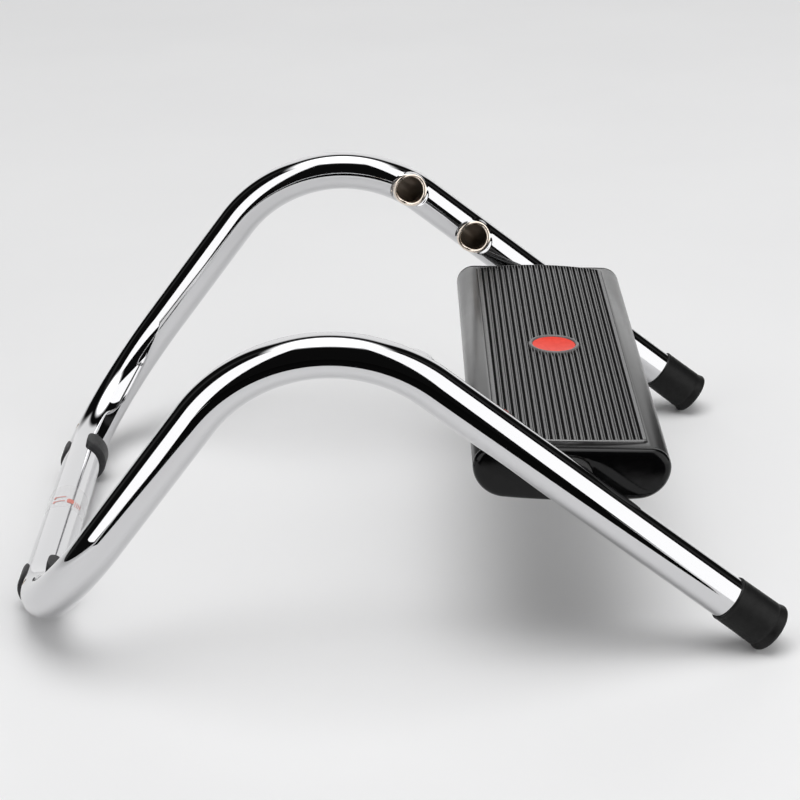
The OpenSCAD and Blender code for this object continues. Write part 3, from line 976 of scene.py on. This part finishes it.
def mat_rows():
    """Places along the mat, as (side, distance from that side's end, depth), or (0, y, 1) between."""
    ends = [(0, 0.9), (0.06, 0.6), (0.25, 0.3), (0.55, 0.08), (0.9, 0), (MAT_END_WALL - 0.02, 0),
            (MAT_END_WALL + 0.02, 1), (MAT_END_WALL + 0.2, 1), (3, 1), (8, 1)]
    middle = spread(-17.5, 17.5, 50)
    spaced = [s * y for s in (-1, 1) for y in (24, 40, 60, 80, 100, 120, 132)]
    rows = [(NEAR, e, d) for e, d in ends]
    rows += [(0, y, 1) for y in sorted(middle + spaced)]
    rows += [(FAR, e, d) for e, d in reversed(ends)]
    return rows


def mat_point(x, groove, side, value, level, at_end):
    """A point on the mat's top: crowned, round at the corners and sunk under the badge."""
    corner, seat = 2.0, MAT_BASE + 0.2
    crown = MAT_CROWN_R - math.sqrt(MAT_CROWN_R ** 2 - x ** 2)
    y = side * (mat_half_length(x) - value) if side else value
    is_margin = abs(x) > RIB_EDGE
    drop = groove if is_margin or not at_end else 0
    if at_end:
        drop = max(drop, level)
    z = MAT_TOP - crown - drop
    if side and is_margin and value < corner:
        width = MAT_W / 2 - corner + math.sqrt(corner ** 2 - (corner - value) ** 2)
        share = (abs(x) - RIB_EDGE) / (MAT_W / 2 - RIB_EDGE)
        x = math.copysign(RIB_EDGE + share * (width - RIB_EDGE), x)
    sunk = ease((BEZEL_R - 0.2 - math.hypot(x, y)) / 0.9)
    return on_platform(x, y, z + (seat - z) * sunk)


def tread_mat():
    """The ribbed mat. Each rib's top dips a little between two soft edges, and the groove floors carry
    painted shade.
    """
    columns = mat_columns()
    maker = Maker()
    rows = []
    walls = []
    for side, value, level in mat_rows():
        at_end = side != 0 and value < MAT_END_WALL
        walls.append(at_end)
        rows.append(maker.ring([mat_point(x, d, side, value, level, at_end) for x, d in columns]))
    for j in range(len(rows) - 1):
        for i in range(len(columns) - 1):
            # Groove floors take the darker groove material, as painted shade
            shade_groove_floor = min(columns[i][1], columns[i + 1][1]) > 2 and not (walls[j] or walls[j + 1])
            maker.face([rows[j][i], rows[j][i + 1], rows[j + 1][i + 1], rows[j + 1][i]], int(shade_groove_floor))
    loop = rows[0] + [r[-1] for r in rows[1:]] + rows[-1][-2::-1] + [r[0] for r in rows[-2:0:-1]]
    base = []
    for i in loop:
        p = maker.points[i]
        height = (p - on_platform(0, p.y, 0)).dot(PLATFORM_UP)
        base.append(p - PLATFORM_UP * (height - MAT_BASE))
    foot = maker.ring(base)
    maker.strip(loop, foot)
    maker.face(foot)
    piece = maker.piece("ribbed_mat", [TREAD_RUBBER, GROOVE_PAINTED_SHADE], sharp=50)
    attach(piece, "platform")
    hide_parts("tread_mat")


def badge():
    """A raised ring round a dished, enamelled disc."""
    top = MAT_TOP + 0.3
    ring_r = (BEZEL_R - DISC_R) / 2
    middle = DISC_R + ring_r
    crown = arc_points(middle, top - ring_r, ring_r, arc_angles(180, 10))
    profile = [(BEZEL_R, MAT_BASE)] + crown + [(DISC_R, MAT_BASE)]
    origin = on_platform(0, 0, 0)
    ring = lathe("badge_ring", profile, origin, PLATFORM_UP, [BEZEL_PLASTIC])
    disc_top, sag = top - 0.9, 1.2
    dish = [(DISC_R * (1 - t), disc_top - sag * (1 - (1 - t) ** 2)) for t in spread(0, 1, 16)]
    profile = [(0, MAT_BASE), (DISC_R, MAT_BASE)] + dish
    disc = lathe("badge_face", profile, origin, PLATFORM_UP, [BADGE_ENAMEL])
    for piece, node, slot in ((ring, "badge_bezel", "bezel_grey"), (disc, "badge_disc", "badge_red")):
        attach(piece, "platform")
        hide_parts(node)


# ---------- pivot parts ----------

def friction_washers():
    gap = LEG_FACE - CAP_FACE
    nose = gap + 2.0
    profile = [(HOLE_R, 0), (11.0, 0), (11.35, 0.3), (11.4, 0.8), (11.15, 1.3), (11.15, 1.9)]
    profile += [(11.4, 2.4), (11.4, gap - 0.1), (10.9, gap + 0.2), (10.5, nose - 0.3), (10.2, nose)]
    profile += [(HOLE_R, nose)]
    for side, name in SIDES:
        origin = on_platform(0, side * CAP_FACE, 0)
        piece = lathe(f"grip_washer_{name}", profile, origin, Y * side, [WASHER_RUBBER], sharp=35)
        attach(piece, "platform")
        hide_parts(f"friction_washer_{name}")


def pivot_pins():
    """Turned pins with a domed tip, a flange for the spring and a thin tail."""
    stub, tail, flange, dome = 3.2, 4.0, 10.6, 2.6
    shoulder = 108.2
    profile = [(0, HUB_IN), (stub, HUB_IN), (stub, shoulder), (tail, shoulder), (tail, FLANGE_BACK)]
    profile += [(flange - 0.3, FLANGE_BACK), (flange, FLANGE_BACK + 0.3), (flange, FLANGE_BACK + 2.4)]
    profile += [(flange - 0.3, FLANGE_BACK + 2.7), (PIN_R, FLANGE_BACK + 2.7), (PIN_R, PIN_TIP - 3)]
    for a in arc_angles(90, 8, start=5):
        profile.append((PIN_R * math.cos(a), PIN_TIP - dome + dome * math.sin(a)))
    profile.append((0, PIN_TIP))
    for side, name in SIDES:
        origin = on_platform(0, 0, 0)
        piece = lathe(f"sprung_pin_{name}", profile, origin, Y * side, [PIN_STEEL], count=96, sharp=35)
        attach(piece, f"pin_{name}")
        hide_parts(f"pivot_pin_{name}")


def pin_springs():
    """Round-wire springs with flattened end turns."""
    wire_r, coil_r, turns, sides, per_turn = 0.65, 6.9, 7, 12, 40
    start = GUIDE_OUT + wire_r
    run = FLANGE_BACK - GUIDE_OUT - 2 * wire_r
    for side, name in SIDES:
        maker = Maker()
        rings = []
        for i in range(turns * per_turn + 1):
            a = 2 * math.pi * i / per_turn
            share = i / (turns * per_turn)
            out = Vector((math.cos(a), 0, math.sin(a)))
            flat = share - 0.055 * math.sin(2 * math.pi * share)
            ring = []
            for k in range(sides):
                b = 2 * math.pi * k / sides
                r = coil_r + wire_r * math.cos(b)
                y = side * (start + run * flat + wire_r * math.sin(b))
                ring.append(on_platform(r * out.x, y, r * out.z))
            rings.append(maker.ring(ring))
        maker.solid(rings)
        piece = maker.piece(f"coil_spring_{name}", [SPRING_STEEL], sharp=60)
        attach(piece, "platform")
        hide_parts(f"pin_spring_{name}")
        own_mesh(piece)


def dress(node, material, edge=0.0):
    """Gives a CAD node its material, and soft edges where edge is over 0."""
    piece = frame["nodes"][node]
    piece.data.materials.clear()
    piece.data.materials.append(material)
    weld = piece.modifiers.new("weld", "WELD")
    weld.merge_threshold = 1e-6
    if edge:
        bevel = piece.modifiers.new("edges", "BEVEL")
        bevel.width = edge * MM
        bevel.segments = 3
        bevel.limit_method = "ANGLE"
        bevel.angle_limit = math.radians(40)


def dress_cad_nodes():
    dress("crossbar_label", FILM)
    dress("guide_screws", SCREW_STEEL, 0.12)
    for _, name in SIDES:
        dress(f"pin_guide_{name}", GUIDE_PLASTIC, 0.3)
        dress(f"release_tab_{name}", TAB_PLASTIC, 0.35)
        dress(f"tab_screw_{name}", SCREW_STEEL, 0.12)


# ---------- studio ----------

def floor():
    bpy.ops.mesh.primitive_plane_add(size=24)
    plane = bpy.context.object
    plane.name = "studio_floor"
    tones = ((3,), (0.85, 0.85, 0.855), (0.87, 0.87, 0.874))
    material = surface("floor_paper", (0.86, 0.86, 0.865), 0.8, tones=tones)
    # Clear from underneath, so that the platform's underside can be looked at
    geometry = add_node(material, "ShaderNodeNewGeometry")
    vary(material, geometry.outputs["Backfacing"], "Alpha", 1, 0, 0, 1)
    plane.data.materials.append(material)


def unseen(name, corners, material):
    """A flat card that only shows in reflections and, if it shines, as light."""
    mesh = bpy.data.meshes.new(name)
    mesh.from_pydata(corners, [], [tuple(range(len(corners)))])
    mesh.materials.append(material)
    card = bpy.data.objects.new(name, mesh)
    bpy.context.scene.collection.objects.link(card)
    card.visible_camera = False
    card.visible_shadow = False
    return card


def dark_floor():
    """The dark ground beyond the slanted front edge of the white floor."""
    edge = [(-0.34, -0.59), (0.235, -0.345), (0.3, -0.48), (0.46, -0.91)]
    far = [(5.86, -12.5), (-5.48, -12.5), (-1.05, -1.12)]
    material = new_material("dark_ground", (0.004, 0.004, 0.004), 0.9, Specular_IOR_Level=0.0)
    card = unseen("dark_floor", [(x, y, 0.001) for x, y in edge + far], material)
    card.visible_diffuse = False


def light_panels():
    """Two tall white panels, front left and front right."""
    height, level = 5.0, 1.45
    material = new_material("panel_light", (0, 0, 0), 1.0, Emission_Strength=level)
    shader_of(material).inputs["Emission Color"].default_value = (1, 1, 1, 1)
    left = ((-1.45, -0.45, 0.34), (-0.74, -1.28, 0))
    right = ((0.6, -1.05, 0), (1.75, 0, 0))
    for name, (a, b) in (("left", left), ("right", right)):
        corners = [a, b, (b[0], b[1], height), (a[0], a[1], height)]
        unseen(f"panel_{name}", corners, material)


class Sky:
    """Builds the studio's light by direction: azimuth 0 is the camera's side, 90 is +X."""

    def __init__(self):
        self.world = bpy.data.worlds.new("studio")
        self.world.use_nodes = True
        self.tree = self.world.node_tree
        bpy.context.scene.world = self.world
        coords = self.tree.nodes.new("ShaderNodeTexCoord")
        parts = self.tree.nodes.new("ShaderNodeSeparateXYZ")
        self.tree.links.new(coords.outputs["Generated"], parts.inputs[0])
        x, y, z = parts.outputs
        back = self.math("MULTIPLY", y, -1)
        self.azimuth = self.math("DEGREES", self.math("ARCTAN2", x, back))
        self.elevation = self.math("DEGREES", self.math("ARCSINE", z))

    def math(self, operation, a, b=None):
        node = self.tree.nodes.new("ShaderNodeMath")
        node.operation = operation
        for socket, value in zip(node.inputs, (a, b)):
            if value is None:
                continue
            if isinstance(value, (int, float)):
                socket.default_value = value
            else:
                self.tree.links.new(value, socket)
        return node.outputs[0]

    def step(self, value, edge, soft):
        """0 below the edge and 1 above it, over a soft band."""
        node = self.tree.nodes.new("ShaderNodeMapRange")
        node.interpolation_type = "SMOOTHSTEP"
        node.inputs["From Min"].default_value = edge - soft
        node.inputs["From Max"].default_value = edge + soft
        self.tree.links.new(value, node.inputs["Value"])
        return node.outputs["Result"]

    def below(self, value, edge, soft):
        return self.math("SUBTRACT", 1, self.step(value, edge, soft))

    def paint(self, over, mask, level):
        """Mixes a brightness over what is there, by the mask."""
        kept = self.math("MULTIPLY", over, self.math("SUBTRACT", 1, mask))
        return self.math("ADD", kept, self.math("MULTIPLY", mask, level))

    def finish(self, light):
        background = self.tree.nodes["Background"]
        self.tree.links.new(light, background.inputs["Color"])
        background.inputs["Strength"].default_value = 1.0


def sky():
    """A white backdrop behind and a bright ceiling, with dark gaps between."""
    gap, glow, backdrop, ceiling = 0.005, 0.03, 1.0, 3.4
    s = Sky()
    turn = s.math("ABSOLUTE", s.azimuth)
    beside = s.math("MULTIPLY", s.step(turn, 110, 4), s.below(turn, 122, 4))
    behind = s.math("MULTIPLY", s.step(turn, 150, 4), s.below(s.elevation, 46, 5))
    light = s.paint(gap, beside, glow)
    light = s.paint(light, behind, backdrop)
    light = s.paint(light, s.step(s.elevation, 66, 8), ceiling)
    s.finish(light)


def camera():
    """The photograph's view: a long lens from the front, looking down."""
    place = Vector((0.02078, -1.2779, 0.60216))
    turn, down, roll = -0.009847, 0.384426, -0.036594
    ahead = Vector((math.sin(turn) * math.cos(down), math.cos(turn) * math.cos(down), -math.sin(down)))
    right = Vector((math.cos(turn), -math.sin(turn), 0))
    up = right.cross(ahead)
    right, up = right * math.cos(roll) + up * math.sin(roll), up * math.cos(roll) - right * math.sin(roll)
    data = bpy.data.cameras.new("camera")
    data.lens = 99.32
    data.sensor_width = 36
    seat = bpy.data.objects.new("camera", data)
    rotation = Matrix((right, up, -ahead)).transposed()
    seat.matrix_world = Matrix.Translation(place) @ rotation.to_4x4()
    bpy.context.scene.collection.objects.link(seat)
    bpy.context.scene.camera = seat


camera()
frame_tube()
leg_caps()
crossbar_clips()
label_marks()
platform_shell()
end_caps()
tread_mat()
badge()
friction_washers()
pivot_pins()
pin_springs()
dress_cad_nodes()
floor()
dark_floor()
light_panels()
sky()
bpy.context.scene.view_settings.view_transform = "Standard"
